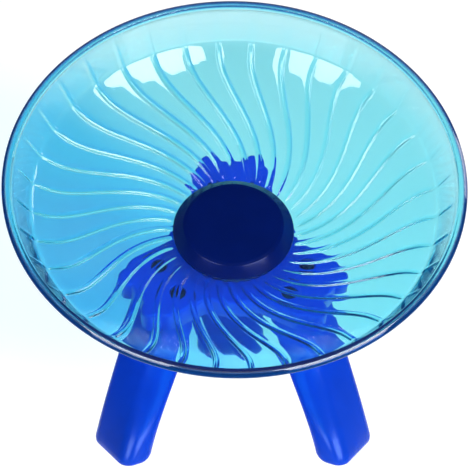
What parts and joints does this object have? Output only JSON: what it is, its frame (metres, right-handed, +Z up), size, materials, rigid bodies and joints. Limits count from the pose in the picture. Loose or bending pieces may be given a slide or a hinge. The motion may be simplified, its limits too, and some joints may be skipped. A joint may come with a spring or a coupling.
{
  "type": "flying saucer wheel",
  "caption": "Small-pet running saucer: a translucent ribbed dish that spins on a tilted ball-bearing hub over a stand of splayed curved legs.",
  "frame": {"origin": "middle of the outline's base, on the ground under the stand", "axes": "+Z up; the low front edge of the tilted dish faces -Y; +X is to the right seen from the front"},
  "size_m": [0.1798, 0.1588, 0.1543],
  "materials": {
    "dish_plastic": "glossy translucent tinted",
    "hub_plastic": "glossy",
    "stand_plastic": "glossy",
    "steel": "bright zinc",
    "cage_brass": "satin",
    "foot_rubber": "matte"
  },
  "bodies": {
    "stand": {"bearing_inner_race": "steel", "axle": "steel", "retaining_clip": "steel", "axle_washer": "steel", "axle_nut": "steel", "stand_body": "stand_plastic", "rear_leg": "stand_plastic", "front_left_leg": "stand_plastic", "front_right_leg": "stand_plastic", "rear_foot_pad": "foot_rubber", "front_left_foot_pad": "foot_rubber", "front_right_foot_pad": "foot_rubber", "rear_leg_screw_left": "steel", "rear_leg_screw_right": "steel", "front_left_leg_screw_left": "steel", "front_left_leg_screw_right": "steel", "front_right_leg_screw_left": "steel", "front_right_leg_screw_right": "steel"},
    "saucer": {"saucer_dish": "dish_plastic", "hub_cap": "hub_plastic", "hub_housing": "hub_plastic", "hub_screw_1": "steel", "hub_screw_2": "steel", "hub_screw_3": "steel", "bearing_outer_race": "steel", "bearing_upper_shield": "steel", "bearing_lower_shield": "steel"},
    "cage": {"bearing_cage": "cage_brass", "bearing_ball_1": "steel", "bearing_ball_2": "steel", "bearing_ball_3": "steel", "bearing_ball_4": "steel", "bearing_ball_5": "steel", "bearing_ball_6": "steel", "bearing_ball_7": "steel"}
  },
  "joints": [
    {"name": "dish_spin", "type": "hinge", "parent": "stand", "child": "saucer", "pos_m": [0, 0.01913, 0.07532], "axis": [0, -0.4695, 0.8829], "continuous": true},
    {"name": "cage_spin", "type": "hinge", "parent": "stand", "child": "cage", "pos_m": [0, 0.01913, 0.07532], "axis": [0, -0.4695, 0.8829], "continuous": true}
  ],
  "couplings": [
    {"joint": "cage_spin", "follows": "dish_spin", "ratio": 0.63233}
  ]
}
